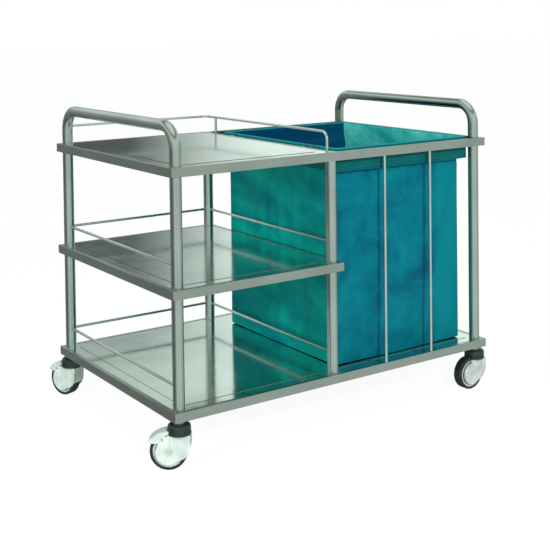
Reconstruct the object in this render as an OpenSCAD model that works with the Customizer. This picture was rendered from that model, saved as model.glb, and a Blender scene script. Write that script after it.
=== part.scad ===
// Linen trolley: steel tube frame with three shelves, guard wires and a hanging laundry bag on four casters.
// Origin on the floor under the middle of the whole trolley, +X along the length, +Z up. Millimetres.

/* [Frame] */
// Distance between the left and right post axes
post_span_x = 1080; // [960:5:1200]
// Distance between the front and rear post axes
post_span_y = 692; // [640:2:760]
// Distance from the left posts to the middle posts
mid_post_offset = 511; // [470:1:530]
// Outside diameter of the posts and handles
post_d = 32; // [30:1:34]
// Wall thickness of the posts and handles
post_wall = 1.5; // [1.2:0.1:2.5]
// Radius of the handle bends, on the tube axis
handle_bend_r = 60; // [50:1:90]
// Height of the handle tube axis above the floor
handle_z = 904; // [886:1:960]

/* [Rails] */
// Height of the bottom rails' centre line above the floor
bottom_rail_z = 143; // [143:1:150]
// Height of the middle rails' centre line above the floor
middle_rail_z = 466; // [420:1:520]
// Height of the top rails' centre line above the floor
top_rail_z = 787; // [770:1:796]
// Height of a rail's section
rail_h = 25; // [20:1:30]
// Thickness of a rail's section
rail_t = 12; // [10:0.5:14]
// Wall thickness of a rail
rail_wall = 2.1; // [2.1:0.1:3]
// Depth to which a rail is notched over each post
rail_notch = 2; // [1:0.1:2]

/* [Shelves] */
// Thickness of the shelf sheet
sheet_t = 1.2; // [1.1:0.1:1.5]
// Depth of the folded shelf edge
sheet_fold = 16; // [12:1:20]
// Width of the lower border round each raised panel
panel_border = 34; // [30:1:45]
// Height of the raised panel above its border
panel_rise = 1.0; // [0.5:0.1:1]

/* [Guard wires] */
// Diameter of the guard wires
wire_d = 8; // [6:0.5:9]
// Height of a guard wire above the centre line of its rails
wire_rise = 72; // [66:1:90]
// Radius of the guard wire bends, on the wire axis
wire_bend_r = 24; // [20:1:30]

/* [Bag] */
// Diameter of the hoop rod that carries the bag
hoop_d = 10; // [8:0.5:10]
// Distance from the front post axes to the hoop's front side
hoop_inset_front = 12; // [12:1:20]
// Distance from the rear post axes to the hoop's rear side
hoop_inset_rear = 60; // [12:1:70]
// Distance from the middle post axes to the hoop's left side
hoop_inset_left = 30; // [30:1:36]
// Distance from the right post axes to the hoop's right side
hoop_inset_right = 22; // [22:1:30]
// Thickness of the bag cloth with its hems
cloth_t = 3; // [2:0.1:3]
// Height of the turned-over bag edge
flap_h = 69; // [60:1:80]
// Height of the bag's underside above the floor
bag_bottom_z = 159; // [159:1:190]
// Diameter of the upright rods beside the bag
bag_rod_d = 9; // [8:0.5:10]

/* [Casters] */
// Diameter of a caster wheel
wheel_d = 100; // [96:1:100]
// Width of a caster tyre
tyre_w = 30; // [26:1:30]
// Distance from the swivel axis to the wheel axis
trail = 28; // [28:0.5:30]
// Diameter of the round collar under each post
collar_d = 62; // [60:1:62]

/* [Hidden] */
$fn = 64;
half_x = post_span_x / 2;
half_y = post_span_y / 2;
mid_x = mid_post_offset - half_x;
post_r = post_d / 2;
rail_in = post_r - rail_notch;
rail_out = rail_in + rail_t;
collar_top = 121;
post_bottom = collar_top;
rail_top = rail_h / 2;
shelf_gap = 0.5;
hoop_r = hoop_d / 2;
hoop_corner = 14;
hoop_left = mid_x + hoop_inset_left;
hoop_right = half_x - hoop_inset_right;
hoop_front = hoop_inset_front - half_y;
hoop_rear = half_y - hoop_inset_rear;
hoop_z = top_rail_z + 11;
lip_gap = 0.75;
lip_in = hoop_r + lip_gap;
lip_out = lip_in + cloth_t;
bag_top_z = hoop_z + hoop_r + 1 + cloth_t;
bag_inset_left = 6;
bag_inset_right = 14;
bag_inset_y = 24;
bag_corner = 8;
shoulder_z = bag_top_z - flap_h + 6;
bracket_y = 200;
bracket_w = 20;
bracket_t = 4;
slot_w = 24;
slot_h = 10;
rod_x = [mid_x + 185, mid_x + 365];
rod_y = half_y + rail_in + rail_t / 2;
riser_front_y = -half_y + 17;
riser_rear_y = half_y - 56;
wheel_r = wheel_d / 2;
axle_r = 5;
axle_gap = 0.05;
pin_r = 6;
collar_bottom = 102;
yoke_bottom = 93;
cheek_in = 17;
cheek_out = 21;
wheel_gap = 3;
cheek_r = 34;
tyre_wall = 8;
pivot = [44, 84];
ear_r = 6;
ear_in = 19.3;
ear_out = 22;
pedal_pin_r = 2.5;
shaft_gap = 0.02;
pedal_half_w = 19;
pedal_in = 16;
tyre_gap = 2.3;
collar_gap = 1.5;

// Distance from the post axes' middle to the middle of the whole trolley's box
frame_shift = -23;

// Direction of each wheel from its swivel axis, in degrees from +X
front_left_turn = 145.2;
front_right_turn = 181;
rear_left_turn = 111.2;
rear_right_turn = 18;

steel = [0.72, 0.74, 0.72];
polished = [0.80, 0.83, 0.81];
teal = [0.02, 0.46, 0.50];
pale_plastic = [0.85, 0.88, 0.85];
black_plastic = [0.06, 0.08, 0.07];
black_rubber = [0.05, 0.05, 0.05];

// Moves a shape drawn about the middle of the post axes to its place about the origin
module in_frame() {
  translate([0, frame_shift, 0]) children();
}

// ---- Tubes and posts ----

// Solid inverted U in the plane x = 0, with legs from z0 up to the handle
module inverted_u(r, z0) {
  bend_z = handle_z - handle_bend_r;
  for (side = [0, 1]) {
    mirror([0, side, 0]) {
      translate([0, half_y, z0])
        cylinder(r = r, h = bend_z - z0);
      translate([0, half_y - handle_bend_r, bend_z])
        rotate([90, 0, 90])
          rotate_extrude(angle = 90)
            translate([handle_bend_r, 0])
              circle(r = r);
    }
  }
  translate([0, handle_bend_r - half_y, handle_z])
    rotate([-90, 0, 0])
      cylinder(r = r, h = 2 * (half_y - handle_bend_r));
}

module end_frame() {
  color(steel)
    in_frame()
      difference() {
        inverted_u(post_r, post_bottom);
        inverted_u(post_r - post_wall, post_bottom - 1);
      }
}

module left_end_frame() {
  translate([-half_x, 0, 0]) end_frame();
}

module right_end_frame() {
  translate([half_x, 0, 0]) end_frame();
}

module mid_post(side) {
  z0 = bottom_rail_z - rail_top;
  z1 = top_rail_z + rail_top;
  color(steel)
    translate([mid_x, side * half_y + frame_shift, 0])
      difference() {
        translate([0, 0, z0]) cylinder(r = post_r, h = z1 - z0);
        translate([0, 0, z0 - 1]) cylinder(r = post_r - post_wall, h = z1 - z0 - 1);
      }
}

module front_mid_post() {
  mid_post(-1);
}

module rear_mid_post() {
  mid_post(1);
}

// ---- Rails ----

// Every post as a solid cylinder, grown by a clearance
module post_cutters(grow) {
  for (x = [-half_x, mid_x, half_x], y = [-half_y, half_y]) {
    translate([x, y, 0])
      cylinder(r = post_r + grow, h = handle_z);
  }
}

// Mitred prism between an inner and an outer edge on the front or rear side
module long_prism(x0, x1, inset) {
  polygon([
    [x0 + inset, -half_y - rail_out + inset],
    [x1 - inset, -half_y - rail_out + inset],
    [x1 - rail_t + inset, -half_y - rail_in - inset],
    [x0 + rail_t - inset, -half_y - rail_in - inset]
  ]);
}

module long_rail(x0, x1, z, side) {
  color(steel)
    in_frame()
      difference() {
        translate([0, 0, z - rail_top])
          mirror([0, side > 0 ? 1 : 0, 0])
            linear_extrude(rail_h)
              long_prism(x0, x1, 0);
        translate([0, 0, z - rail_top + rail_wall])
          mirror([0, side > 0 ? 1 : 0, 0])
            linear_extrude(rail_h - 2 * rail_wall)
              long_prism(x0, x1, rail_wall);
        post_cutters(0);
      }
}

// Mitred prism along Y with its outer face at x_out, facing right
module short_prism(x_out, inset) {
  y_out = half_y + rail_out;
  polygon([
    [x_out - inset, -y_out + inset],
    [x_out - inset, y_out - inset],
    [x_out - rail_t + inset, y_out - rail_t - inset],
    [x_out - rail_t + inset, -y_out + rail_t + inset]
  ]);
}

module short_rail(x_out, z, side) {
  color(steel)
    in_frame()
      difference() {
        translate([0, 0, z - rail_top])
          mirror([side < 0 ? 1 : 0, 0, 0])
            linear_extrude(rail_h)
              short_prism(side * x_out, 0);
        translate([0, 0, z - rail_top + rail_wall])
          mirror([side < 0 ? 1 : 0, 0, 0])
            linear_extrude(rail_h - 2 * rail_wall)
              short_prism(side * x_out, rail_wall);
        post_cutters(0);
      }
}

module top_front_rail() {
  long_rail(-half_x - rail_out, half_x + rail_out, top_rail_z, -1);
}

module top_rear_rail() {
  long_rail(-half_x - rail_out, half_x + rail_out, top_rail_z, 1);
}

module top_left_rail() {
  short_rail(-half_x - rail_out, top_rail_z, -1);
}

module top_right_rail() {
  short_rail(half_x + rail_out, top_rail_z, 1);
}

module top_divider_rail() {
  color(steel)
    in_frame()
      difference() {
        translate([mid_x - rail_t / 2, -half_y, top_rail_z - rail_top])
          cube([rail_t, post_span_y, rail_h]);
        post_cutters(0);
      }
}

module middle_front_rail() {
  long_rail(-half_x - rail_out, mid_x + rail_out, middle_rail_z, -1);
}

module middle_rear_rail() {
  long_rail(-half_x - rail_out, mid_x + rail_out, middle_rail_z, 1);
}

module middle_left_rail() {
  short_rail(-half_x - rail_out, middle_rail_z, -1);
}

module middle_right_rail() {
  short_rail(mid_x + rail_out, middle_rail_z, 1);
}

module bottom_front_rail() {
  long_rail(-half_x - rail_out, half_x + rail_out, bottom_rail_z, -1);
}

module bottom_rear_rail() {
  long_rail(-half_x - rail_out, half_x + rail_out, bottom_rail_z, 1);
}

module bottom_left_rail() {
  short_rail(-half_x - rail_out, bottom_rail_z, -1);
}

module bottom_right_rail() {
  short_rail(half_x + rail_out, bottom_rail_z, 1);
}

// ---- Shelves ----

// Notch round every post, open towards the nearer long edge of a sheet
module post_notches() {
  notch_r = post_r + shelf_gap;
  post_cutters(shelf_gap);
  for (x = [-half_x, mid_x, half_x], side = [0, 1]) {
    mirror([0, side, 0])
      translate([x - notch_r, half_y, 0])
        cube([2 * notch_r, 2 * post_d, handle_z]);
  }
}

// Sheet with folded edges and a raised panel, notched round the posts; z is the rails' centre line
module shelf(x0, x1, z) {
  y0 = -half_y - rail_in;
  size_y = -2 * y0;
  top = z + rail_top - shelf_gap;
  panel_x = x1 - x0 - 2 * panel_border;
  panel_y = size_y - 2 * panel_border;
  inner_x = panel_x - 2 * sheet_t;
  inner_y = panel_y - 2 * sheet_t;
  color(polished)
    in_frame()
      difference() {
        union() {
          translate([x0, y0, top - sheet_fold])
            cube([x1 - x0, size_y, sheet_fold]);
          translate([x0 + panel_border, y0 + panel_border, top - sheet_t])
            cube([panel_x, panel_y, sheet_t + panel_rise]);
        }
        translate([x0 + sheet_t, y0 + sheet_t, top - sheet_fold - 1])
          cube([x1 - x0 - 2 * sheet_t, size_y - 2 * sheet_t, sheet_fold + 1 - sheet_t]);
        translate([x0 + panel_border + sheet_t, y0 + panel_border + sheet_t, top - sheet_fold])
          cube([inner_x, inner_y, sheet_fold - sheet_t + panel_rise]);
        post_notches();
      }
}

module top_shelf() {
  shelf(-half_x - rail_in, mid_x - rail_t / 2, top_rail_z);
}

module middle_shelf() {
  shelf(-half_x - rail_in, mid_x + rail_in, middle_rail_z);
}

module bottom_shelf() {
  shelf(-half_x - rail_in, half_x + rail_in, bottom_rail_z);
}

// ---- Guard wires ----

module wire_x(x0, x1, y, z) {
  translate([x0, y, z])
    rotate([0, 90, 0])
      cylinder(d = wire_d, h = x1 - x0);
}

module wire_y(x, y0, y1, z) {
  translate([x, y0, z])
    rotate([-90, 0, 0])
      cylinder(d = wire_d, h = y1 - y0);
}

module wire_z(x, y, z0, z1) {
  translate([x, y, z0])
    cylinder(d = wire_d, h = z1 - z0);
}

module wire_bend(from, turn) {
  rotate(from)
    rotate_extrude(angle = turn)
      translate([wire_bend_r, 0])
        circle(d = wire_d);
}

module top_guard() {
  z = top_rail_z + wire_rise - 4;
  base = top_rail_z + rail_top;
  color(polished)
    in_frame()
      difference() {
        union() {
          wire_x(-half_x, mid_x - wire_bend_r, half_y, z);
          translate([mid_x - wire_bend_r, half_y - wire_bend_r, z]) wire_bend(0, 90);
          wire_y(mid_x, riser_front_y + wire_bend_r, half_y - wire_bend_r, z);
          translate([mid_x, riser_front_y + wire_bend_r, z - wire_bend_r])
            rotate([90, 0, 90])
              wire_bend(90, 90);
          wire_z(mid_x, riser_front_y, base, z - wire_bend_r);
          wire_z(mid_x, riser_rear_y, base, z);
        }
        translate([-half_x, 0, 0]) inverted_u(post_r, post_bottom);
      }
}

module guard_left(rail_z) {
  color(polished)
    in_frame()
      difference() {
        wire_y(-half_x, -half_y, half_y, rail_z + wire_rise);
        post_cutters(0);
      }
}

module guard_rear(rail_z) {
  color(polished)
    in_frame()
      difference() {
        wire_x(-half_x, mid_x, half_y, rail_z + wire_rise);
        post_cutters(0);
      }
}

module guard_side(rail_z) {
  color(polished)
    in_frame()
      difference() {
        wire_y(mid_x, -half_y, half_y, rail_z + wire_rise);
        post_cutters(0);
      }
}

module middle_guard_left() {
  guard_left(middle_rail_z);
}

module middle_guard_rear() {
  guard_rear(middle_rail_z);
}

module middle_guard_side() {
  guard_side(middle_rail_z);
}

module bottom_guard_left() {
  guard_left(bottom_rail_z);
}

module bottom_guard_rear() {
  guard_rear(bottom_rail_z);
}

module bottom_guard_side() {
  guard_side(bottom_rail_z);
}

// ---- Bag and its carrier ----

module bag_rods(side) {
  z0 = bottom_rail_z + rail_top;
  z1 = top_rail_z - rail_top;
  color(polished)
    in_frame()
      for (x = rod_x) {
        translate([x, side * rod_y, z0])
          cylinder(d = bag_rod_d, h = z1 - z0);
      }
}

module front_bag_rods() {
  bag_rods(-1);
}

module rear_bag_rods() {
  bag_rods(1);
}

module bag_hoop() {
  x0 = hoop_left + hoop_corner;
  x1 = hoop_right - hoop_corner;
  y0 = hoop_front + hoop_corner;
  y1 = hoop_rear - hoop_corner;
  color(polished)
    translate([0, frame_shift, hoop_z]) {
      for (y = [hoop_front, hoop_rear]) {
        translate([x0, y, 0])
          rotate([0, 90, 0])
            cylinder(r = hoop_r, h = x1 - x0);
      }
      for (x = [hoop_left, hoop_right]) {
        translate([x, y0, 0])
          rotate([-90, 0, 0])
            cylinder(r = hoop_r, h = y1 - y0);
      }
      for (corner = [[x1, y1, 0], [x0, y1, 90], [x0, y0, 180], [x1, y0, 270]]) {
        translate([corner[0], corner[1], 0])
          rotate(corner[2])
            rotate_extrude(angle = 90)
              translate([hoop_corner, 0])
                circle(r = hoop_r);
      }
    }
}

// Flat bar from x0 to x1 with its hoop end, at hoop_x, fitted round the rod
module hoop_bracket(x0, x1, hoop_x, y) {
  difference() {
    translate([x0, y - bracket_w / 2, hoop_z - bracket_t / 2])
      cube([x1 - x0, bracket_w, bracket_t]);
    translate([hoop_x, y - bracket_w, hoop_z])
      rotate([-90, 0, 0])
        cylinder(r = hoop_r, h = 2 * bracket_w);
  }
}

module hoop_brackets() {
  color(polished)
    in_frame()
      for (y = [-bracket_y, bracket_y]) {
        hoop_bracket(mid_x + rail_t / 2, hoop_left, hoop_left, y);
        hoop_bracket(hoop_right, half_x + rail_in, hoop_right, y);
      }
}

// Upright prism with rounded corners, from z0 to z1
module rounded_block(x0, x1, y0, y1, corner, z0, z1) {
  translate([0, 0, z0]) {
    translate([x0 + corner, y0, 0])
      cube([x1 - x0 - 2 * corner, y1 - y0, z1 - z0]);
    translate([x0, y0 + corner, 0])
      cube([x1 - x0, y1 - y0 - 2 * corner, z1 - z0]);
    for (x = [x0 + corner, x1 - corner], y = [y0 + corner, y1 - corner]) {
      translate([x, y, 0])
        cylinder(r = corner, h = z1 - z0);
    }
  }
}

// Block that follows the hoop's outline at a distance outwards
module hoop_block(grow, z0, z1) {
  rounded_block(
    hoop_left - grow, hoop_right + grow, hoop_front - grow, hoop_rear + grow, hoop_corner + grow, z0, z1
  );
}

// Block that follows the bag's body at a distance inwards
module body_block(inset, z0, z1) {
  x0 = hoop_left + bag_inset_left + inset;
  x1 = hoop_right - bag_inset_right - inset;
  y0 = hoop_front + bag_inset_y + inset;
  y1 = hoop_rear - bag_inset_y - inset;
  rounded_block(x0, x1, y0, y1, bag_corner - inset, z0, z1);
}

module linen_bag() {
  flap_z = bag_top_z - flap_h;
  slot_depth = cloth_t + 2;
  color(teal)
    in_frame()
      difference() {
        union() {
          hoop_block(lip_out, flap_z, bag_top_z);
          body_block(0, bag_bottom_z, shoulder_z + cloth_t);
        }
        difference() {
          hoop_block(lip_in, flap_z - 1, bag_top_z - cloth_t);
          hoop_block(-lip_in, shoulder_z, bag_top_z);
          body_block(0, bag_bottom_z, shoulder_z + cloth_t);
        }
        hoop_block(-lip_out, shoulder_z + cloth_t, bag_top_z + 1);
        body_block(cloth_t, bag_bottom_z + cloth_t, bag_top_z);
        for (x = [hoop_left - lip_out + cloth_t / 2, hoop_right + lip_out - cloth_t / 2]) {
          for (y = [-bracket_y, bracket_y]) {
            translate([x, y, hoop_z])
              cube([slot_depth, slot_w, slot_h], center = true);
          }
        }
      }
}

// ---- Casters ----

module front_left_place() {
  translate([-half_x, -half_y + frame_shift, 0])
    rotate(front_left_turn)
      children();
}

module front_right_place() {
  translate([half_x, -half_y + frame_shift, 0])
    rotate(front_right_turn)
      children();
}

module rear_left_place() {
  translate([-half_x, half_y + frame_shift, 0])
    rotate(rear_left_turn)
      children();
}

module rear_right_place() {
  translate([half_x, half_y + frame_shift, 0])
    rotate(rear_right_turn)
      children();
}

module each_post_foot() {
  for (x = [-half_x, half_x], y = [-half_y, half_y]) {
    translate([x, y + frame_shift, 0]) children();
  }
}

module caster_stems() {
  plug_r = post_r - post_wall - 0.1;
  color(steel)
    each_post_foot() {
      translate([0, 0, collar_top]) cylinder(r = plug_r, h = 60);
      translate([0, 0, collar_bottom + 1]) cylinder(r = pin_r, h = collar_top - collar_bottom);
    }
}

module caster_collars() {
  collar_r = collar_d / 2;
  shoulder = 9;
  roof = collar_top - 8;
  color(black_plastic)
    each_post_foot()
      difference() {
        union() {
          translate([0, 0, collar_bottom])
            cylinder(r = collar_r, h = collar_top - collar_bottom - shoulder);
          translate([0, 0, collar_top - shoulder])
            cylinder(r = collar_r - shoulder, h = shoulder);
          translate([0, 0, collar_top - shoulder])
            rotate_extrude()
              translate([collar_r - shoulder, 0])
                circle(r = shoulder);
        }
        translate([0, 0, collar_bottom - 1]) cylinder(r = collar_r - 6, h = roof - collar_bottom + 1);
        cylinder(r = pin_r + shaft_gap, h = collar_top + 1);
      }
}

// Cylinder on the wheel axis, centred across the wheel
module axle_cylinder(r, w) {
  translate([trail, 0, wheel_r])
    rotate([90, 0, 0])
      cylinder(r = r, h = w, center = true);
}

module yoke() {
  spigot_r = 14;
  spigot_top = 112.5;
  color(black_plastic)
    difference() {
      union() {
        translate([0, 0, yoke_bottom])
          cylinder(r = collar_d / 2, h = collar_bottom - yoke_bottom - 0.5);
        translate([0, 0, yoke_bottom])
          cylinder(r = spigot_r, h = spigot_top - yoke_bottom);
      }
      translate([0, 0, collar_bottom]) cylinder(r = pin_r + axle_gap, h = spigot_top);
      axle_cylinder(wheel_r + wheel_gap, 2 * cheek_in);
    }
}

// Outline of the hood in the wheel's plane, as [distance behind the swivel axis, height]
module hood_outline() {
  polygon([
    [-31, yoke_bottom],
    [-31, 68],
    [-29.5, 57],
    [-26, 47],
    [-21, 39],
    [-13, 32],
    [16, 20],
    [trail, wheel_r],
    [56, 60],
    [38, 69],
    [33, 73],
    [31, yoke_bottom]
  ]);
}

// Outline of an ear that carries the pedal, outside the hood's cheek
module ear_outline() {
  polygon([
    [24, 64],
    [pivot[0], pivot[1] - ear_r],
    [pivot[0], pivot[1] + ear_r],
    [24, yoke_bottom - 1]
  ]);
}

// Prism from an outline in the wheel's plane, centred across the wheel
module across(w) {
  rotate([90, 0, 0])
    translate([0, 0, -w / 2])
      linear_extrude(w)
        children();
}

// Space the pedal moves in, cut from the hood's cheeks
module pocket_outline() {
  polygon([
    [34.5, 110],
    [34.5, 71],
    [50, 71],
    [60, 66],
    [90, 60],
    [90, 110]
  ]);
}

module pivot_cylinder(r, w) {
  translate([pivot[0], 0, pivot[1]])
    rotate([90, 0, 0])
      cylinder(r = r, h = w, center = true);
}

module hood(brake) {
  color(pale_plastic)
    difference() {
      union() {
        across(2 * cheek_out) hood_outline();
        axle_cylinder(cheek_r, 2 * cheek_out);
        if (brake) {
          across(2 * ear_out) ear_outline();
          pivot_cylinder(ear_r, 2 * ear_out);
        }
      }
      if (brake) {
        across(2 * ear_in) pocket_outline();
        pivot_cylinder(pedal_pin_r + shaft_gap, 60);
      }
      axle_cylinder(wheel_r + wheel_gap, 2 * cheek_in);
      axle_cylinder(axle_r + shaft_gap, 60);
    }
}

module axle() {
  cap_r = 8;
  color(steel) {
    axle_cylinder(axle_r, 2 * cheek_out);
    difference() {
      axle_cylinder(cap_r, 2 * cheek_out + 4);
      axle_cylinder(cap_r + 1, 2 * cheek_out);
    }
  }
}

module hub() {
  hub_r = wheel_r - tyre_wall;
  recess = 6;
  color(pale_plastic)
    difference() {
      union() {
        difference() {
          axle_cylinder(hub_r, tyre_w - 4);
          for (side = [-1, 1]) {
            translate([0, side * (tyre_w / 2 - 2), 0])
              axle_cylinder(hub_r - 6, 2 * recess);
          }
        }
        axle_cylinder(10, tyre_w + 2);
      }
      axle_cylinder(axle_r + axle_gap, tyre_w + 4);
    }
}

module tyre() {
  round_r = 4;
  color(black_rubber)
    difference() {
      union() {
        axle_cylinder(wheel_r, tyre_w - 2 * round_r);
        axle_cylinder(wheel_r - round_r, tyre_w);
        for (side = [-1, 1]) {
          translate([trail, side * (tyre_w / 2 - round_r), wheel_r])
            rotate([90, 0, 0])
              rotate_extrude()
                translate([wheel_r - round_r, 0])
                  circle(r = round_r);
        }
      }
      axle_cylinder(wheel_r - tyre_wall + shaft_gap, tyre_w + 2);
    }
}

// Outline of the brake pedal in the wheel's plane, released
module pedal_outline() {
  polygon([
    [37, 76],
    [35.5, 93.5],
    [26, 96],
    [26, 104.5],
    [37, 104.2],
    [48, 102],
    [59, 97.5],
    [69, 91],
    [77, 83.5],
    [80, 78.5],
    [79, 74],
    [75, 72.5],
    [41, 72.5]
  ]);
}

module pedal() {
  color(pale_plastic)
    difference() {
      across(2 * pedal_half_w) pedal_outline();
      cylinder(r = collar_d / 2 + collar_gap, h = handle_z);
      axle_cylinder(wheel_r + tyre_gap, 2 * pedal_in);
      pivot_cylinder(pedal_pin_r + axle_gap, 60);
    }
}

// Two short pins, one through each ear and the pedal's cheek inside it
module pedal_pin() {
  color(steel)
    difference() {
      pivot_cylinder(pedal_pin_r, 2 * ear_out + 1);
      pivot_cylinder(pedal_pin_r + 1, 2 * pedal_in + 0.5);
    }
}

module front_left_yoke() {
  front_left_place() yoke();
}

module front_left_hood() {
  front_left_place() hood(true);
}

module front_left_axle() {
  front_left_place() axle();
}

module front_left_hub() {
  front_left_place() hub();
}

module front_left_tyre() {
  front_left_place() tyre();
}

module front_right_yoke() {
  front_right_place() yoke();
}

module front_right_hood() {
  front_right_place() hood(false);
}

module front_right_axle() {
  front_right_place() axle();
}

module front_right_hub() {
  front_right_place() hub();
}

module front_right_tyre() {
  front_right_place() tyre();
}

module rear_left_yoke() {
  rear_left_place() yoke();
}

module rear_left_hood() {
  rear_left_place() hood(true);
}

module rear_left_axle() {
  rear_left_place() axle();
}

module rear_left_hub() {
  rear_left_place() hub();
}

module rear_left_tyre() {
  rear_left_place() tyre();
}

module rear_right_yoke() {
  rear_right_place() yoke();
}

module rear_right_hood() {
  rear_right_place() hood(false);
}

module rear_right_axle() {
  rear_right_place() axle();
}

module rear_right_hub() {
  rear_right_place() hub();
}

module rear_right_tyre() {
  rear_right_place() tyre();
}

module front_left_pedal() {
  front_left_place() pedal();
}

module front_left_pedal_pin() {
  front_left_place() pedal_pin();
}

module rear_left_pedal() {
  rear_left_place() pedal();
}

module rear_left_pedal_pin() {
  rear_left_place() pedal_pin();
}

left_end_frame();
right_end_frame();
front_mid_post();
rear_mid_post();
top_front_rail();
top_rear_rail();
top_left_rail();
top_right_rail();
top_divider_rail();
middle_front_rail();
middle_rear_rail();
middle_left_rail();
middle_right_rail();
bottom_front_rail();
bottom_rear_rail();
bottom_left_rail();
bottom_right_rail();
top_shelf();
middle_shelf();
bottom_shelf();
top_guard();
middle_guard_left();
middle_guard_rear();
middle_guard_side();
bottom_guard_left();
bottom_guard_rear();
bottom_guard_side();
front_bag_rods();
rear_bag_rods();
bag_hoop();
hoop_brackets();
linen_bag();
caster_stems();
caster_collars();
front_left_yoke();
front_left_hood();
front_left_axle();
front_left_hub();
front_left_tyre();
front_right_yoke();
front_right_hood();
front_right_axle();
front_right_hub();
front_right_tyre();
rear_left_yoke();
rear_left_hood();
rear_left_axle();
rear_left_hub();
rear_left_tyre();
rear_right_yoke();
rear_right_hood();
rear_right_axle();
rear_right_hub();
rear_right_tyre();
front_left_pedal();
front_left_pedal_pin();
rear_left_pedal();
rear_left_pedal_pin();
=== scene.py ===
import math

import bmesh
import bpy
from mathutils import Matrix, Vector, noise


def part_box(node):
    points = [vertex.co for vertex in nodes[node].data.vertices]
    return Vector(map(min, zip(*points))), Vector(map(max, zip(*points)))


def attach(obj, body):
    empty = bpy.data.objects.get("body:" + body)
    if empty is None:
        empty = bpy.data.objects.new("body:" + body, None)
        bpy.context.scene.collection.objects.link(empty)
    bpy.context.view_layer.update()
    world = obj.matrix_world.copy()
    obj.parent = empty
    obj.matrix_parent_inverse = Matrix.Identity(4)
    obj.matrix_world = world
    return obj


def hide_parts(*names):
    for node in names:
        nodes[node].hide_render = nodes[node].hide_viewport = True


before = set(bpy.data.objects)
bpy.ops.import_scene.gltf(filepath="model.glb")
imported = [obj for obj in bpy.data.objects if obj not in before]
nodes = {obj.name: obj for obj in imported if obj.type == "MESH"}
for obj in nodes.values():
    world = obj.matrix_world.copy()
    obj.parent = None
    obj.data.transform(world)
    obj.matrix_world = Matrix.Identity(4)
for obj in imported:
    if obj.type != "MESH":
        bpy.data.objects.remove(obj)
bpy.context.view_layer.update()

# ---------------------------------------------------------------- places read from the CAD part
bag_lo, bag_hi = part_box("linen_bag")
hoop_lo, hoop_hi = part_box("bag_hoop")
bracket_lo, bracket_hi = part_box("hoop_brackets")
HOOP_R = (hoop_hi.z - hoop_lo.z) / 2
HOOP_Z = (hoop_hi.z + hoop_lo.z) / 2
HOOP_SIDES = (hoop_lo.x + HOOP_R, hoop_hi.x - HOOP_R, hoop_lo.y + HOOP_R, hoop_hi.y - HOOP_R)
bag_middle = Vector(((hoop_lo.x + hoop_hi.x) / 2, (hoop_lo.y + hoop_hi.y) / 2, 0))


# ---------------------------------------------------------------- material helpers
class Graph:
    """A material's node tree with short calls for adding and joining nodes."""

    def __init__(self, name):
        self.mat = bpy.data.materials.new(name)
        self.mat.use_nodes = True
        self.tree = self.mat.node_tree
        self.bsdf = self.tree.nodes["Principled BSDF"]
        coord = self.add("ShaderNodeTexCoord")
        self.place = coord.outputs["Object"]

    def add(self, kind, **settings):
        made = self.tree.nodes.new(kind)
        for key, value in settings.items():
            setattr(made, key, value)
        return made

    def join(self, a, b):
        self.tree.links.new(a, b)

    def set(self, **values):
        for key, value in values.items():
            self.bsdf.inputs[key.replace("_", " ")].default_value = value

    def stretch(self, scale):
        made = self.add("ShaderNodeMapping")
        made.inputs["Scale"].default_value = scale
        self.join(self.place, made.inputs["Vector"])
        return made.outputs["Vector"]

    def slant(self, length, degrees):
        """Coordinates for marks drawn out along Y, tilted about X, and short in height."""
        made = self.add("ShaderNodeMapping", vector_type="TEXTURE")
        made.inputs["Scale"].default_value = (1.0, length, 1.0)
        made.inputs["Rotation"].default_value = (math.radians(degrees), 0.0, 0.0)
        self.join(self.place, made.inputs["Vector"])
        return made.outputs["Vector"]

    def noise(self, scale, detail=4.0, rough=0.55, source=None, distort=0.0):
        made = self.add("ShaderNodeTexNoise")
        made.inputs["Scale"].default_value = scale
        made.inputs["Detail"].default_value = detail
        made.inputs["Roughness"].default_value = rough
        made.inputs["Distortion"].default_value = distort
        self.join(source or self.place, made.inputs["Vector"])
        return made.outputs["Fac"]

    def ramp(self, source, stops):
        made = self.add("ShaderNodeValToRGB")
        band = made.color_ramp
        while len(band.elements) < len(stops):
            band.elements.new(0.5)
        for element, (at, colour) in zip(band.elements, stops):
            element.position = at
            element.color = (*colour, 1.0)
        self.join(source, made.inputs["Fac"])
        return made.outputs["Color"]

    def scale_to(self, source, low, high, from_low=0.0, from_high=1.0):
        made = self.add("ShaderNodeMapRange")
        made.inputs["From Min"].default_value = from_low
        made.inputs["From Max"].default_value = from_high
        made.inputs["To Min"].default_value = low
        made.inputs["To Max"].default_value = high
        self.join(source, made.inputs["Value"])
        return made.outputs["Result"]

    def math(self, operation, a, b):
        made = self.add("ShaderNodeMath", operation=operation)
        for socket, value in zip(made.inputs, (a, b)):
            if isinstance(value, (int, float)):
                socket.default_value = value
            else:
                self.join(value, socket)
        return made.outputs["Value"]

    def mix(self, fac, a, b):
        made = self.add("ShaderNodeMix", data_type="RGBA")
        sockets = {"Factor": made.inputs[0], "A": made.inputs[6], "B": made.inputs[7]}
        for key, value in (("Factor", fac), ("A", a), ("B", b)):
            if isinstance(value, (int, float)):
                sockets[key].default_value = value
            elif isinstance(value, tuple):
                sockets[key].default_value = (*value, 1.0)
            else:
                self.join(value, sockets[key])
        return made.outputs[2]

    def round_edges(self, radius):
        """Normals that look as if sharp edges were rounded off."""
        made = self.add("ShaderNodeBevel", samples=4)
        made.inputs["Radius"].default_value = radius
        return made.outputs["Normal"]

    def bump(self, source, strength, distance, under=None):
        made = self.add("ShaderNodeBump")
        made.inputs["Strength"].default_value = strength
        made.inputs["Distance"].default_value = distance
        self.join(source, made.inputs["Height"])
        if under is not None:
            self.join(under, made.inputs["Normal"])
        self.join(made.outputs["Normal"], self.bsdf.inputs["Normal"])
        return made.outputs["Normal"]


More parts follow.
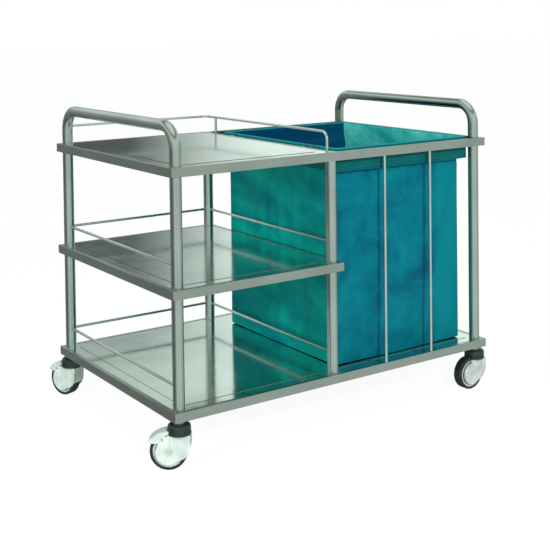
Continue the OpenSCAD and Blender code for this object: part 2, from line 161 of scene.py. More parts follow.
GRAIN_ALONG = {"x": (1.0, 60.0, 60.0), "y": (60.0, 1.0, 60.0), "z": (60.0, 60.0, 1.0)}
RAIL_EDGE, PLASTIC_EDGE = 0.0015, 0.0012


def steel(name, axis, dark, light, rough_low, rough_high, grain=0.05, edge=0.0, upright_shade=None):
    """Polished stainless steel with a grain along one axis, cloudy wipe marks and slight waviness.

    Edge is the radius its edges look rounded to; the colour given last, if any, is a painted shade for its
    upright faces.
    """
    g = Graph(name)
    grain_fac = g.noise(9.0, 8.0, 0.7, g.stretch(GRAIN_ALONG[axis]))
    cloud = g.noise(5.5, 3.0, 0.5)
    smudge = g.noise(22.0, 5.0, 0.62, distort=0.6)
    tone = g.math("ADD", g.math("MULTIPLY", grain_fac, 0.45), g.math("MULTIPLY", cloud, 0.55))
    colour = g.ramp(tone, [(0.30, dark), (0.70, light)])
    # Painted shade: upright faces, such as the shelves' rims, take a darker colour.
    if upright_shade is not None:
        facing = g.add("ShaderNodeSeparateXYZ")
        g.join(g.add("ShaderNodeNewGeometry").outputs["True Normal"], facing.inputs["Vector"])
        upright = g.math("LESS_THAN", g.math("ABSOLUTE", facing.outputs["Z"], 0.0), 0.5)
        colour = g.mix(upright, colour, upright_shade)
    g.join(colour, g.bsdf.inputs["Base Color"])
    rough = g.math("ADD", g.math("MULTIPLY", smudge, 0.5), g.math("MULTIPLY", grain_fac, 0.5))
    g.join(g.scale_to(rough, rough_low, rough_high, 0.3, 0.7), g.bsdf.inputs["Roughness"])
    wave = g.bump(g.noise(7.0, 2.0, 0.5), 0.12, 0.004, g.round_edges(edge) if edge else None)
    g.bump(grain_fac, grain, 0.0006, wave)
    g.set(Metallic=1.0)
    return g.mat


def plastic(name, dark, light, rough):
    """Moulded plastic with a fine surface grain, faint mottling and softened edges."""
    g = Graph(name)
    mottle = g.noise(30.0, 4.0, 0.6)
    grain = g.noise(260.0, 3.0, 0.6)
    g.join(g.ramp(mottle, [(0.35, dark), (0.68, light)]), g.bsdf.inputs["Base Color"])
    g.join(g.scale_to(grain, rough - 0.08, rough + 0.10), g.bsdf.inputs["Roughness"])
    g.bump(grain, 0.12, 0.0006, g.round_edges(PLASTIC_EDGE))
    return g.mat


def rubber(name):
    """Solid rubber tyre: dark, dusty in patches, with fine pits."""
    g = Graph(name)
    dust = g.noise(45.0, 6.0, 0.65)
    pits = g.noise(420.0, 3.0, 0.6)
    g.join(g.ramp(dust, [(0.40, (0.006, 0.008, 0.007)), (0.75, (0.028, 0.034, 0.031))]),
           g.bsdf.inputs["Base Color"])
    g.join(g.scale_to(dust, 0.55, 0.85), g.bsdf.inputs["Roughness"])
    g.bump(pits, 0.3, 0.0008)
    return g.mat


TUBE_DARK, TUBE_LIGHT = (0.38, 0.43, 0.40), (0.56, 0.62, 0.58)
RAIL_DARK, RAIL_LIGHT = (0.34, 0.38, 0.35), (0.48, 0.53, 0.49)
SHEET_DARK, SHEET_LIGHT = (0.60, 0.69, 0.65), (0.78, 0.88, 0.83)
# Painted shade for the shelves' upright rims.
SHEET_RIM_SHADE = (0.16, 0.19, 0.18)
WIRE_DARK, WIRE_LIGHT = (0.50, 0.55, 0.52), (0.72, 0.78, 0.74)

mats = {
    "tube": steel("tube_steel", "z", TUBE_DARK, TUBE_LIGHT, 0.16, 0.30, 0.02),
    "rail_x": steel("rail_steel_x", "x", RAIL_DARK, RAIL_LIGHT, 0.26, 0.42, 0.09, RAIL_EDGE),
    "rail_y": steel("rail_steel_y", "y", RAIL_DARK, RAIL_LIGHT, 0.26, 0.42, 0.09, RAIL_EDGE),
    "sheet": steel("sheet_steel", "x", SHEET_DARK, SHEET_LIGHT, 0.06, 0.16, 0.02, upright_shade=SHEET_RIM_SHADE),
    "wire": steel("wire_steel", "z", WIRE_DARK, WIRE_LIGHT, 0.12, 0.24),
    "pin": steel("pin_steel", "z", RAIL_DARK, RAIL_LIGHT, 0.25, 0.4),
    "cap": plastic("cap_plastic", (0.32, 0.365, 0.345), (0.44, 0.49, 0.47), 0.42),
    "black": plastic("black_plastic", (0.004, 0.010, 0.008), (0.012, 0.026, 0.020), 0.38),
    "pale": plastic("pale_plastic", (0.35, 0.395, 0.375), (0.50, 0.545, 0.525), 0.42),
    "pedal": plastic("pedal_plastic", (0.33, 0.375, 0.355), (0.46, 0.51, 0.49), 0.40),
    "tyre": rubber("tyre_rubber"),
}


def look_of(node):
    """Which material a CAD node wears."""
    if node.endswith("_rail"):
        return "rail_y" if node.endswith(("left_rail", "right_rail", "divider_rail")) else "rail_x"
    if node.endswith(("_end_frame", "_mid_post")):
        return "tube"
    if node.endswith("_shelf"):
        return "sheet"
    if "guard" in node or node in ("front_bag_rods", "rear_bag_rods", "bag_hoop", "hoop_brackets"):
        return "wire"
    if node.endswith("_axle"):
        return "cap"
    if node.endswith("_pin") or node == "caster_stems":
        return "pin"
    if node.endswith("_yoke") or node == "caster_collars":
        return "black"
    if node.endswith("_tyre"):
        return "tyre"
    if node.endswith("_pedal"):
        return "pedal"
    return "pale"


for name, obj in nodes.items():
    look = look_of(name)
    obj.data.materials.clear()
    obj.data.materials.append(mats[look])


# ---------------------------------------------------------------- bag
BAG_BOTTOM = bag_lo.z + 0.001
FLAP_BOTTOM = HOOP_Z - 0.060
FRONT_DARK, FRONT_MID, FRONT_LIGHT = (0.000, 0.066, 0.112), (0.000, 0.116, 0.160), (0.001, 0.165, 0.190)
# Painted light: side faces get greener, lighter colours than the front, standing in for light from the left.
SIDE_DARK, SIDE_MID, SIDE_LIGHT = (0.000, 0.120, 0.158), (0.001, 0.228, 0.218), (0.004, 0.365, 0.285)
RIGHT_PANEL, PANEL_FADE = bag_hi.x - 0.13, 0.02
ROLL_DEPTH = 0.004
WEAVE_SCALE = 260.0
FLAP_SHADE = (0.002, 0.070, 0.060)
# Painted light and shade: navy shade on the inner front and rear walls, teal and cyan light on the inner end
# walls, and a cyan highlight along the top of the rolled rim.
INNER_SHADE_NAVY, INNER_LIT_TEAL = (0.000, 0.020, 0.082), (0.012, 0.300, 0.300)
INNER_LIT_CYAN, RIM_HIGHLIGHT_CYAN = (0.160, 0.780, 0.660), (0.010, 0.225, 0.245)


def bag_material():
    """Coated woven cloth, bluer in front and lighter towards the front's right end, with light and shade
    painted in: greener, lighter sides with slanting streaks of painted sheen, painted navy shade and cyan
    light inside, painted shade on the outer flap and a painted highlight along the rolled rim.
    """
    g = Graph("bag_cloth")
    warp = g.add("ShaderNodeTexWave", wave_type="BANDS", bands_direction="DIAGONAL")
    weft = g.add("ShaderNodeTexWave", wave_type="BANDS", bands_direction="Z")
    for wave in (warp, weft):
        wave.inputs["Scale"].default_value = WEAVE_SCALE
        wave.inputs["Distortion"].default_value = 0.8
        g.join(g.place, wave.inputs["Vector"])
    weave = g.math("MULTIPLY", warp.outputs["Fac"], weft.outputs["Fac"])
    mottle = g.noise(9.0, 7.0, 0.68, distort=0.6)
    # Painted sheen: slanting streaks that lighten and darken the sides and the inner end walls.
    sheen_streak = g.noise(9.0, 5.0, 0.6, g.slant(5.0, 16), 0.3)
    geometry = g.add("ShaderNodeNewGeometry")
    facing, at = g.add("ShaderNodeSeparateXYZ"), g.add("ShaderNodeSeparateXYZ")
    g.join(geometry.outputs["Normal"], facing.inputs["Vector"])
    g.join(g.place, at.inputs["Vector"])
    away_x = g.math("MULTIPLY", facing.outputs["X"], g.math("SUBTRACT", at.outputs["X"], bag_middle.x))
    away_y = g.math("MULTIPLY", facing.outputs["Y"], g.math("SUBTRACT", at.outputs["Y"], bag_middle.y))
    inside = g.math("LESS_THAN", g.math("ADD", away_x, away_y), -0.01)
    # Share of the painted side light, from how far a face turns towards +X or -X.
    side_light_share = g.scale_to(g.math("ABSOLUTE", facing.outputs["X"], 0.0), 0.0, 1.0, 0.35, 0.85)
    front = g.ramp(mottle, [(0.30, FRONT_DARK), (0.50, FRONT_MID), (0.74, FRONT_LIGHT)])
    sheen_blend = g.math("ADD", g.math("MULTIPLY", sheen_streak, 0.65), g.math("MULTIPLY", mottle, 0.35))
    right_end = g.scale_to(at.outputs["X"], 0.0, 0.8, RIGHT_PANEL, RIGHT_PANEL + PANEL_FADE)
    front = g.mix(right_end, front, FRONT_LIGHT)
    lit_flank = g.ramp(sheen_blend, [(0.34, SIDE_DARK), (0.50, SIDE_MID), (0.66, SIDE_LIGHT)])
    outside = g.mix(side_light_share, front, lit_flank)
    # Painted light and shade inside: navy shade on the front and rear walls, teal to cyan light on the end
    # walls.
    lining_light_and_shade = g.mix(side_light_share, INNER_SHADE_NAVY, g.ramp(sheen_blend, [(0.40, INNER_LIT_TEAL), (0.60, INNER_LIT_CYAN)]))
    cloth = g.mix(inside, outside, g.mix(0.25, lining_light_and_shade, front))
    flap = g.math("GREATER_THAN", at.outputs["Z"], FLAP_BOTTOM)
    outer_flap = g.math("MULTIPLY", flap, g.math("SUBTRACT", 1.0, inside))
    cloth = g.mix(outer_flap, cloth, g.mix(0.75, cloth, FLAP_SHADE))
    # Painted highlight: the upward-facing top of the cloth rolled over the hoop is lightened.
    upwards = g.scale_to(facing.outputs["Z"], 0.0, 1.0, 0.35, 0.8)
    rim_highlight_share = g.math("MULTIPLY", upwards, g.math("GREATER_THAN", at.outputs["Z"], HOOP_Z - ROLL_DEPTH))
    g.join(g.mix(rim_highlight_share, cloth, RIM_HIGHLIGHT_CYAN), g.bsdf.inputs["Base Color"])
    creases = g.bump(g.noise(26.0, 5.0, 0.6, distort=1.2), 0.28, 0.004)
    g.bump(weave, 0.12, 0.0004, creases)
    g.set(Roughness=0.62, Specular_IOR_Level=0.06)
    return g.mat


def thread_material():
    """Twisted sewing thread, a little darker than the cloth."""
    g = Graph("bag_thread")
    g.join(g.ramp(g.noise(300.0), [(0.3, (0.002, 0.10, 0.12)), (0.7, (0.01, 0.16, 0.19))]),
           g.bsdf.inputs["Base Color"])
    g.bump(g.noise(900.0, 2.0), 0.3, 0.0003)
    g.set(Roughness=0.7)
    return g.mat


cloth_mat, thread_mat = bag_material(), thread_material()

HOOP_CORNER = 0.014
LOOP_X, LOOP_Y, LOOP_CORNER = 38, 52, 6
CLOTH_OFF = 0.0072
HEM_FLARE = 0.0006
BASE_EDGE = 0.004
FLAP_ROWS, ROLL_ROWS, INNER_ROWS, NECK_ROWS, BODY_ROWS, EDGE_ROWS, BASE_ROWS = 7, 6, 3, 5, 52, 3, 15
BASE_REACH = 0.94
CORNER_PLAY = 0.12
BODY_LEFT, BODY_RIGHT, BODY_Y, BODY_CORNER = 0.006, 0.013, 0.024, 0.006
NECK_TOP, NECK_END = HOOP_Z - 0.026, HOOP_Z - 0.066


def inset(left, right, y):
    """The hoop's rectangle (left, right, front, rear) brought inwards."""
    x0, x1, y0, y1 = HOOP_SIDES
    return x0 + left, x1 - right, y0 + y, y1 - y


def loop_points(sides, corner):
    """Points round a rounded rectangle, anticlockwise from its right side's lower end."""
    x0, x1, y0, y1 = sides
    middle = Vector(((x0 + x1) / 2, (y0 + y1) / 2))
    points = []
    runs = [((1, 0), LOOP_Y), ((0, 1), LOOP_X), ((-1, 0), LOOP_Y), ((0, -1), LOOP_X)]
    for index, (normal, count) in enumerate(runs):
        n = Vector(normal)
        along = Vector((-n.y, n.x))
        reach_n = (x1 - x0) / 2 if n.x else (y1 - y0) / 2
        reach_a = ((y1 - y0) / 2 if n.x else (x1 - x0) / 2) - corner
        for k in range(count):
            points.append(middle + n * reach_n + along * (2 * k / count - 1) * reach_a)
        turn = index * math.pi / 2
        centre = middle + n * (reach_n - corner) + along * reach_a
        for k in range(LOOP_CORNER):
            a = turn + math.pi / 2 * k / LOOP_CORNER
            points.append(centre + Vector((math.cos(a), math.sin(a))) * corner)
    return points


def bag_stations():
    """Stations from the flap's hem over the hoop and down the inside: (sides, corner, height, part)."""
    rows = []

    def at_hoop(off, z, part):
        rows.append((inset(-off, -off, -off), HOOP_CORNER + off, z, part))

    for k in range(FLAP_ROWS):
        off = CLOTH_OFF + HEM_FLARE * (1 - k / (FLAP_ROWS - 1))
        at_hoop(off, FLAP_BOTTOM + (HOOP_Z - FLAP_BOTTOM) * k / FLAP_ROWS, "flap")
    for k in range(ROLL_ROWS + 1):
        a = math.pi * k / ROLL_ROWS
        at_hoop(CLOTH_OFF * math.cos(a), HOOP_Z + CLOTH_OFF * math.sin(a), "roll")
    for k in range(1, INNER_ROWS + 1):
        at_hoop(-CLOTH_OFF, HOOP_Z + (NECK_TOP - HOOP_Z) * k / INNER_ROWS, "inner")
    for k in range(1, NECK_ROWS + 1):
        t = k / NECK_ROWS
        s = t * t * (3 - 2 * t)
        neck = [CLOTH_OFF + (far - CLOTH_OFF) * s for far in (BODY_LEFT, BODY_RIGHT, BODY_Y)]
        corner = HOOP_CORNER - CLOTH_OFF + (BODY_CORNER - HOOP_CORNER + CLOTH_OFF) * s
        rows.append((inset(*neck), corner, NECK_TOP + (NECK_END - NECK_TOP) * t, "neck"))
    body = inset(BODY_LEFT, BODY_RIGHT, BODY_Y)
    body_end = BAG_BOTTOM + BASE_EDGE
    for k in range(1, BODY_ROWS + 1):
        rows.append((body, BODY_CORNER, NECK_END + (body_end - NECK_END) * k / BODY_ROWS, "body"))
    for k in range(1, EDGE_ROWS + 1):
        a = math.pi / 2 * k / EDGE_ROWS
        off = BASE_EDGE * (1 - math.cos(a))
        rows.append((inset(BODY_LEFT + off, BODY_RIGHT + off, BODY_Y + off), BODY_CORNER - off,
                     BAG_BOTTOM + BASE_EDGE * (1 - math.sin(a)), "edge"))
    x0, x1, y0, y1 = rows[-1][0]
    for k in range(1, BASE_ROWS + 1):
        f = BASE_REACH * k / BASE_ROWS
        dx, dy = (x1 - x0) / 2 * f, (y1 - y0) / 2 * f
        corner = (BODY_CORNER - BASE_EDGE) * (1 - f)
        rows.append(((x0 + dx, x1 - dx, y0 + dy, y1 - dy), corner, BAG_BOTTOM, "base"))
    return rows


def looseness():
    """How freely each column of the bag may move: little at a corner, most in the middle of a side."""
    shares = []
    for count in (LOOP_Y, LOOP_X, LOOP_Y, LOOP_X):
        shares += [CORNER_PLAY + (1 - CORNER_PLAY) * math.sin(math.pi * k / count) for k in range(count)]
        shares += [CORNER_PLAY] * LOOP_CORNER
    return shares


def bag_mesh():
    """The undraped bag: its stations, points per station, points, the part each belongs to, and faces."""
    rows = bag_stations()
    verts, parts = [], []
    for sides, corner, z, part in rows:
        for point in loop_points(sides, corner):
            verts.append(Vector((point.x, point.y, z)))
            parts.append(part)
    count = 2 * (LOOP_X + LOOP_Y) + 4 * LOOP_CORNER
    faces = []
    for r in range(len(rows) - 1):
        for k in range(count):
            a, b = r * count + k, r * count + (k + 1) % count
            faces.append((a, b, b + count, a + count))
    last = (len(rows) - 1) * count
    faces.append(tuple(last + k for k in range(count)))
    return rows, count, verts, parts, faces


def drape(obj, pins, frames):
    """Lets the cloth settle for a number of frames and returns where its points end up."""
    group = obj.vertex_groups.new(name="pins")
    for weight, members in pins.items():
        group.add(members, weight, "REPLACE")
    cloth = obj.modifiers.new("drape", "CLOTH")
    s = cloth.settings
    s.vertex_group_mass = "pins"
    s.quality = 7
    s.mass = 0.25
    s.tension_stiffness = s.compression_stiffness = 18
    s.shear_stiffness = 6
    s.bending_stiffness = 0.6
    s.tension_damping = s.compression_damping = s.shear_damping = 8
    s.bending_damping = 1.0
    s.air_damping = 4.0
    s.shrink_min = -0.007
    s.shrink_max = -0.007
    s.use_pressure = True
    s.uniform_pressure_force = 0.35
    cloth.collision_settings.use_collision = False
    cloth.collision_settings.use_self_collision = False
    cloth.point_cache.frame_start = 1
    cloth.point_cache.frame_end = frames
    scene = bpy.context.scene
    for f in range(1, frames + 1):
        scene.frame_set(f)
    dg = bpy.context.evaluated_depsgraph_get()
    settled = [v.co.copy() for v in obj.evaluated_get(dg).data.vertices]
    obj.modifiers.remove(cloth)
    scene.frame_set(1)
    return settled


def capped(start, end, most):
    """The point reached from start towards end, no further than most."""
    d = end - start
    return start + d * (min(1.0, most / d.length) if d.length > 0 else 0)


def new_mesh(name, verts, faces, material):
    """An object of its own in the scene, from points and faces."""
    mesh = bpy.data.meshes.new(name)
    mesh.from_pydata([tuple(v) for v in verts], [], faces)
    mesh.validate()
    mesh.materials.append(material)
    obj = bpy.data.objects.new(name, mesh)
    bpy.context.scene.collection.objects.link(obj)
    return obj


SLACK = {"flap": 0.0035, "neck": 0.006, "body": 0.011, "edge": 0.002}
rows, row_size, rest, parts, bag_faces = bag_mesh()
start = [v.copy() for v in rest]
loose = looseness()
DRAPE_FRAMES = 24
RIPPLE_SHIFT = Vector((5, 5, 5))
RIPPLE = {"body": (6, 0.0025), "flap": (14, 0.0025)}
for i, (v, part) in enumerate(zip(start, parts)):
    if part in RIPPLE:
        often, far = RIPPLE[part]
        push = Vector((noise.noise(v * often), noise.noise(v * often + RIPPLE_SHIFT), 0))
        v += push * far * loose[i % row_size]
bag = new_mesh("linen_bag_cloth", start, bag_faces, cloth_mat)
held = {1.0: [i for i, part in enumerate(parts) if part in ("roll", "inner", "base")],
        0.25: [i for i, part in enumerate(parts) if part == "edge"]}
for i, place in enumerate(drape(bag, held, DRAPE_FRAMES)):
    start[i] = capped(rest[i], place, SLACK.get(parts[i], 0.0) * loose[i % row_size])
for vertex, place in zip(bag.data.vertices, start):
    vertex.co = place

BRACKET_W, SLOT_HALF_Y, SLOT_HALF_Z = 0.020, 0.013, 0.0045
bracket_ys = (bracket_lo.y + BRACKET_W / 2, bracket_hi.y - BRACKET_W / 2)
BRACKET_START, CLOTH_THICKNESS = 0.004, 0.0014
outer_reach = (HOOP_SIDES[1] - HOOP_SIDES[0]) / 2 + BRACKET_START
cut = bmesh.new()
cut.from_mesh(bag.data)
for face in list(cut.faces):
    c = face.calc_center_median()
    outer = abs(c.x - bag_middle.x) > outer_reach
    if outer and min(abs(c.y - y) for y in bracket_ys) < SLOT_HALF_Y and abs(c.z - HOOP_Z) < SLOT_HALF_Z:
        cut.faces.remove(face)
cut.normal_update()
cut.to_mesh(bag.data)
cut.free()
thick = bag.modifiers.new("cloth_thickness", "SOLIDIFY")
thick.thickness = CLOTH_THICKNESS
thick.offset = 0.0
soft = bag.modifiers.new("soft", "SUBSURF")
soft.levels = soft.render_levels = 1
for polygon in bag.data.polygons:
    polygon.use_smooth = True
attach(bag, "frame")
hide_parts("linen_bag")


def row_points(row):
    """The settled points of one station of the bag."""
    return [start[row * row_size + k] for k in range(row_size)]


def outward(points, k):
    """Direction that points away from the bag, square to a closed row of points."""
    d = points[(k + 1) % len(points)] - points[k - 1]
    return Vector((d.y, -d.x, 0)).normalized()


CORD_SIDES = 8


def tube_along(name, points, radius, material, closed=False):
    """A round cord that follows a run of points."""
    count, sides = len(points), CORD_SIDES
    verts, faces = [], []
    for k, p in enumerate(points):
        after = points[(k + 1) % count] if closed or k + 1 < count else p
        before = points[k - 1] if closed or k > 0 else p
        d = (after - before).normalized()
        a = d.orthogonal().normalized() if abs(d.z) > 0.9 else d.cross(Vector((0, 0, 1))).normalized()
        b = d.cross(a)
        for s in range(sides):
            turn = 2 * math.pi * s / sides
            verts.append(p + (a * math.cos(turn) + b * math.sin(turn)) * radius)
    runs = count if closed else count - 1
    for k in range(runs):
        for s in range(sides):
            a0, a1 = k * sides + s, k * sides + (s + 1) % sides
            b0, b1 = (a0 + sides) % len(verts), (a1 + sides) % len(verts)
            faces.append((a0, a1, b1, b0))
    if not closed:
        faces.append(tuple(range(sides))[::-1])
        faces.append(tuple(len(verts) - sides + s for s in range(sides)))
    obj = new_mesh(name, verts, faces, material)
    for polygon in obj.data.polygons:
        polygon.use_smooth = True
    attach(obj, "frame")
    return obj


def stitches(name, points, length, gap, radius, lift):
    """A row of short threads round a closed row of points, proud of the cloth by lift."""
    verts, faces = [], []
    carry = 0.0
    for k, a in enumerate(points):
        b = points[(k + 1) % len(points)]
        span = (b - a).length
        d = (b - a).normalized()
        out = outward(points, k)
        side = d.cross(out).normalized()
        at = carry
        while at + length < span + 1e-6:
            p, q = a + d * at + out * lift, a + d * (at + length) + out * lift
            base = len(verts)
            for end in (p, q):
                for u, w in ((1, 0), (0, 1), (-1, 0), (0, -1)):
                    verts.append(end + side * u * radius + out * w * radius)
            for m in range(4):
                faces.append((base + m, base + (m + 1) % 4, base + 4 + (m + 1) % 4, base + 4 + m))
            faces.append((base + 3, base + 2, base + 1, base))
            faces.append((base + 4, base + 5, base + 6, base + 7))
            at += length + gap
        carry = max(0.0, at - span)
    obj = new_mesh(name, verts, faces, thread_mat)
    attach(obj, "frame")
    return obj


part_of_row = [row[3] for row in rows]
first_body = part_of_row.index("body")
first_edge = part_of_row.index("edge")
HEM_R, SEAM_R = 0.0017, 0.0016
STITCH, STITCH_GAP, THREAD_R, THREAD_LIFT = 0.0045, 0.0022, 0.0005, 0.0010
hem = row_points(0)
tube_along("bag_hem_edge", hem, HEM_R, cloth_mat, closed=True)
hem_up = [hem[k].lerp(row_points(1)[k], 0.9) for k in range(row_size)]
hem_up_2 = [row_points(1)[k].lerp(row_points(2)[k], 0.25) for k in range(row_size)]
stitches("bag_hem_stitch", hem_up, STITCH, STITCH_GAP, THREAD_R, THREAD_LIFT)
stitches("bag_hem_stitch_upper", hem_up_2, STITCH, STITCH_GAP, THREAD_R, THREAD_LIFT)
corner_columns = [LOOP_Y + LOOP_CORNER // 2, LOOP_Y + LOOP_X + LOOP_CORNER * 3 // 2,
                  2 * LOOP_Y + LOOP_X + LOOP_CORNER * 5 // 2, 2 * (LOOP_Y + LOOP_X) + LOOP_CORNER * 7 // 2]
for number, column in enumerate(corner_columns):
    run = [start[r * row_size + column % row_size] for r in range(first_body, first_edge + 2)]
    tube_along(f"bag_side_seam_{number}", run, SEAM_R, cloth_mat)
tube_along("bag_base_seam", row_points(first_edge + 1), SEAM_R, cloth_mat, closed=True)

# ---------------------------------------------------------------- floor, light and camera
# Brightness of the studio round the trolley, by compass direction in degrees from the rear (+Y) towards +X.
# The first list is what a downward reflection meets, the second a level one.
GROUND_RING = [
    (0, 0.10), (30, 0.12), (62, 0.16), (85, 0.42), (125, 0.66), (160, 0.78), (186, 0.98), (200, 0.55),
    (214, 0.95), (238, 0.80), (262, 0.30), (290, 0.12), (318, 0.26), (340, 0.30), (352, 0.14),
]
HORIZON_RING = [
    (0, 0.30), (12, 0.10), (27, 0.10), (30, 0.55), (33, 0.98), (48, 1.05), (80, 0.60), (130, 0.75),
    (180, 0.95), (214, 1.0), (250, 0.70), (290, 0.35), (330, 0.45),
]
# Brightness of the studio by height in degrees, above what the shelves mirror.
OVERHEAD = [(0, 0.98), (34, 0.98), (40, 0.22), (50, 0.20), (56, 1.10), (90, 1.10)]
TINT = (0.90, 1.0, 0.945)
# Heights in degrees between which the level brightness gives way to the overhead one.
LOW_SKY, HIGH_SKY = 11, 24


def ring(graph_add, join, direction, stops):
    """Brightness by compass direction of a vector."""
    split = graph_add("ShaderNodeSeparateXYZ")
    join(direction, split.inputs["Vector"])
    turn = graph_add("ShaderNodeMath")
    turn.operation = "ARCTAN2"
    join(split.outputs["X"], turn.inputs[0])
    join(split.outputs["Y"], turn.inputs[1])
    share = graph_add("ShaderNodeMath")
    share.operation = "DIVIDE"
    join(turn.outputs[0], share.inputs[0])
    share.inputs[1].default_value = 2 * math.pi
    wrap = graph_add("ShaderNodeMath")
    wrap.operation = "FLOORED_MODULO"
    join(share.outputs[0], wrap.inputs[0])
    wrap.inputs[1].default_value = 1.0
    ramp = graph_add("ShaderNodeValToRGB")
    band = ramp.color_ramp
    full = stops + [(360, stops[0][1])]
    while len(band.elements) < len(full):
        band.elements.new(0.5)
    for element, (at, value) in zip(band.elements, full):
        element.position = at / 360
        element.color = (value * TINT[0], value * TINT[1], value * TINT[2], 1)
    join(wrap.outputs[0], ramp.inputs["Fac"])
    return ramp.outputs["Color"], split.outputs["Z"]


reach = 40.0
FLOOR_GLOW, FLOOR_GLOW_SHARE = 1.03, 0.90
floor_obj = bpy.data.objects.new("floor", bpy.data.meshes.new("floor"))
floor_obj.data.from_pydata([(-reach, -reach, 0), (reach, -reach, 0), (reach, reach, 0), (-reach, reach, 0)],
                           [], [(0, 1, 2, 3)])
bpy.context.scene.collection.objects.link(floor_obj)
fg = Graph("floor_pale")
pale = fg.ramp(fg.noise(2.0, 3.0), [(0.3, (0.90, 0.905, 0.905)), (0.7, (0.92, 0.925, 0.925))])
fg.join(pale, fg.bsdf.inputs["Base Color"])
fg.set(Roughness=0.9, Specular_IOR_Level=0.0)
paths = fg.add("ShaderNodeLightPath")
lit = fg.add("ShaderNodeEmission")
lit.inputs["Color"].default_value = (FLOOR_GLOW, FLOOR_GLOW, FLOOR_GLOW, 1)
plain = fg.add("ShaderNodeMixShader")
plain.inputs["Fac"].default_value = FLOOR_GLOW_SHARE
fg.join(fg.bsdf.outputs["BSDF"], plain.inputs[1])
fg.join(lit.outputs["Emission"], plain.inputs[2])
seen = fg.add("ShaderNodeMixShader")
fg.join(paths.outputs["Is Camera Ray"], seen.inputs["Fac"])
fg.join(fg.bsdf.outputs["BSDF"], seen.inputs[1])
fg.join(plain.outputs["Shader"], seen.inputs[2])
incoming = fg.add("ShaderNodeNewGeometry")
flip = fg.add("ShaderNodeVectorMath", operation="SCALE")
flip.inputs["Scale"].default_value = -1.0
fg.join(incoming.outputs["Incoming"], flip.inputs[0])
ground, _ = ring(fg.add, fg.join, flip.outputs["Vector"], GROUND_RING)
glow = fg.add("ShaderNodeEmission")
fg.join(ground, glow.inputs["Color"])
mirrored = fg.add("ShaderNodeMixShader")
fg.join(paths.outputs["Is Glossy Ray"], mirrored.inputs["Fac"])
fg.join(seen.outputs["Shader"], mirrored.inputs[1])
fg.join(glow.outputs["Emission"], mirrored.inputs[2])
fg.join(mirrored.outputs["Shader"], fg.tree.nodes["Material Output"].inputs["Surface"])
floor_obj.data.materials.append(fg.mat)

world = bpy.data.worlds.new("studio")
bpy.context.scene.world = world
world.use_nodes = True
wt = world.node_tree


def wadd(kind, **settings):
    """Adds a node to the studio's tree."""
    made = wt.nodes.new(kind)
    for key, value in settings.items():
        setattr(made, key, value)
    return made


background = wt.nodes["Background"]
coord = wadd("ShaderNodeTexCoord")
horizon, height = ring(wadd, wt.links.new, coord.outputs["Generated"], HORIZON_RING)
climb = wadd("ShaderNodeMapRange", interpolation_type="SMOOTHSTEP")
wt.links.new(height, climb.inputs["Value"])
climb.inputs["From Min"].default_value = math.sin(math.radians(LOW_SKY))
climb.inputs["From Max"].default_value = math.sin(math.radians(HIGH_SKY))
sky = wadd("ShaderNodeMix", data_type="RGBA")
wt.links.new(climb.outputs["Result"], sky.inputs[0])
wt.links.new(horizon, sky.inputs[6])
overhead = wadd("ShaderNodeValToRGB")
wt.links.new(height, overhead.inputs["Fac"])
while len(overhead.color_ramp.elements) < len(OVERHEAD):
    overhead.color_ramp.elements.new(0.5)
for element, (degrees, value) in zip(overhead.color_ramp.elements, OVERHEAD):
    element.position = math.sin(math.radians(degrees))
    element.color = (value * TINT[0], value * TINT[1], value * TINT[2], 1)
wt.links.new(overhead.outputs["Color"], sky.inputs[7])
wpath = wadd("ShaderNodeLightPath")
soft_light = wadd("ShaderNodeMix", data_type="RGBA")
wt.links.new(wpath.outputs["Is Glossy Ray"], soft_light.inputs[0])
soft_light.inputs[6].default_value = (0.64, 0.68, 0.67, 1)
wt.links.new(sky.outputs[2], soft_light.inputs[7])
clear = wadd("ShaderNodeMix", data_type="RGBA")
wt.links.new(wpath.outputs["Is Camera Ray"], clear.inputs[0])
wt.links.new(soft_light.outputs[2], clear.inputs[6])
clear.inputs[7].default_value = (1.0, 1.0, 1.0, 1)
wt.links.new(clear.outputs[2], background.inputs["Color"])


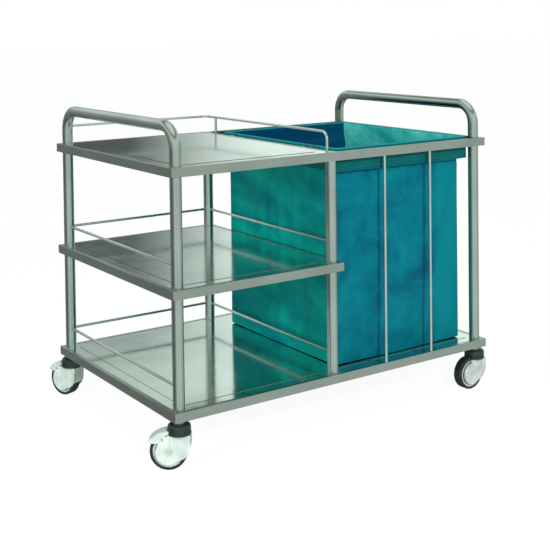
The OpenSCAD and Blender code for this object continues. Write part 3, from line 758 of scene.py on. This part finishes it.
def area(name, place, aim, size, power, colour):
    """A soft rectangular lamp that lights the trolley but isn't mirrored in it."""
    data = bpy.data.lights.new(name, "AREA")
    data.shape = "RECTANGLE"
    data.size, data.size_y = size
    data.energy = power
    data.color = colour
    obj = bpy.data.objects.new(name, data)
    bpy.context.scene.collection.objects.link(obj)
    obj.location = place
    obj.rotation_mode = "QUATERNION"
    obj.rotation_quaternion = (Vector(aim) - Vector(place)).to_track_quat("-Z", "Y")
    obj.visible_glossy = False
    return obj


area("key", (-0.75, -3.2, 1.9), (0.2, 0, 0.5), (0.35, 0.35), 85, (1.0, 1.0, 0.98))
area("left", (-3.2, -0.6, 1.3), (0, 0, 0.5), (1.6, 1.6), 75, (0.86, 1.0, 0.90))
bpy.context.scene.view_settings.view_transform = "Standard"

CAM_PLACE = Vector((-1.9156, -2.8469, 1.1828))
CAM_YAW = math.radians(34.3958)
CAM_PITCH = math.radians(1.9132)
CAM_ROLL = math.radians(-0.6952)
CAM_LENS = 70.80
CAM_SHIFT = -0.3995

forward = Vector((math.sin(CAM_YAW) * math.cos(CAM_PITCH),
                  math.cos(CAM_YAW) * math.cos(CAM_PITCH), -math.sin(CAM_PITCH)))
side = Vector((math.cos(CAM_YAW), -math.sin(CAM_YAW), 0))
up = side.cross(forward)
right = math.cos(CAM_ROLL) * side + math.sin(CAM_ROLL) * up
top = -math.sin(CAM_ROLL) * side + math.cos(CAM_ROLL) * up
cam_data = bpy.data.cameras.new("camera")
cam = bpy.data.objects.new("camera", cam_data)
bpy.context.scene.collection.objects.link(cam)
cam.matrix_world = Matrix.Translation(CAM_PLACE) @ Matrix((right, top, -forward)).transposed().to_4x4()
cam_data.sensor_width = 36.0
cam_data.lens = CAM_LENS
cam_data.clip_start = 0.05
cam_data.clip_end = 100.0
bpy.context.scene.camera = cam

# The vertical shift belongs to the front view only: it drops to zero once the camera stands elsewhere.
shift = cam_data.driver_add("shift_y").driver
shift.type = "SCRIPTED"
stand = shift.variables.new()
stand.name = "stand"
stand.type = "TRANSFORMS"
stand.targets[0].id = cam
stand.targets[0].transform_type = "LOC_X"
stand.targets[0].transform_space = "WORLD_SPACE"
shift.expression = f"{CAM_SHIFT} if abs(stand - ({CAM_PLACE.x:.4f})) < 0.001 else 0.0"
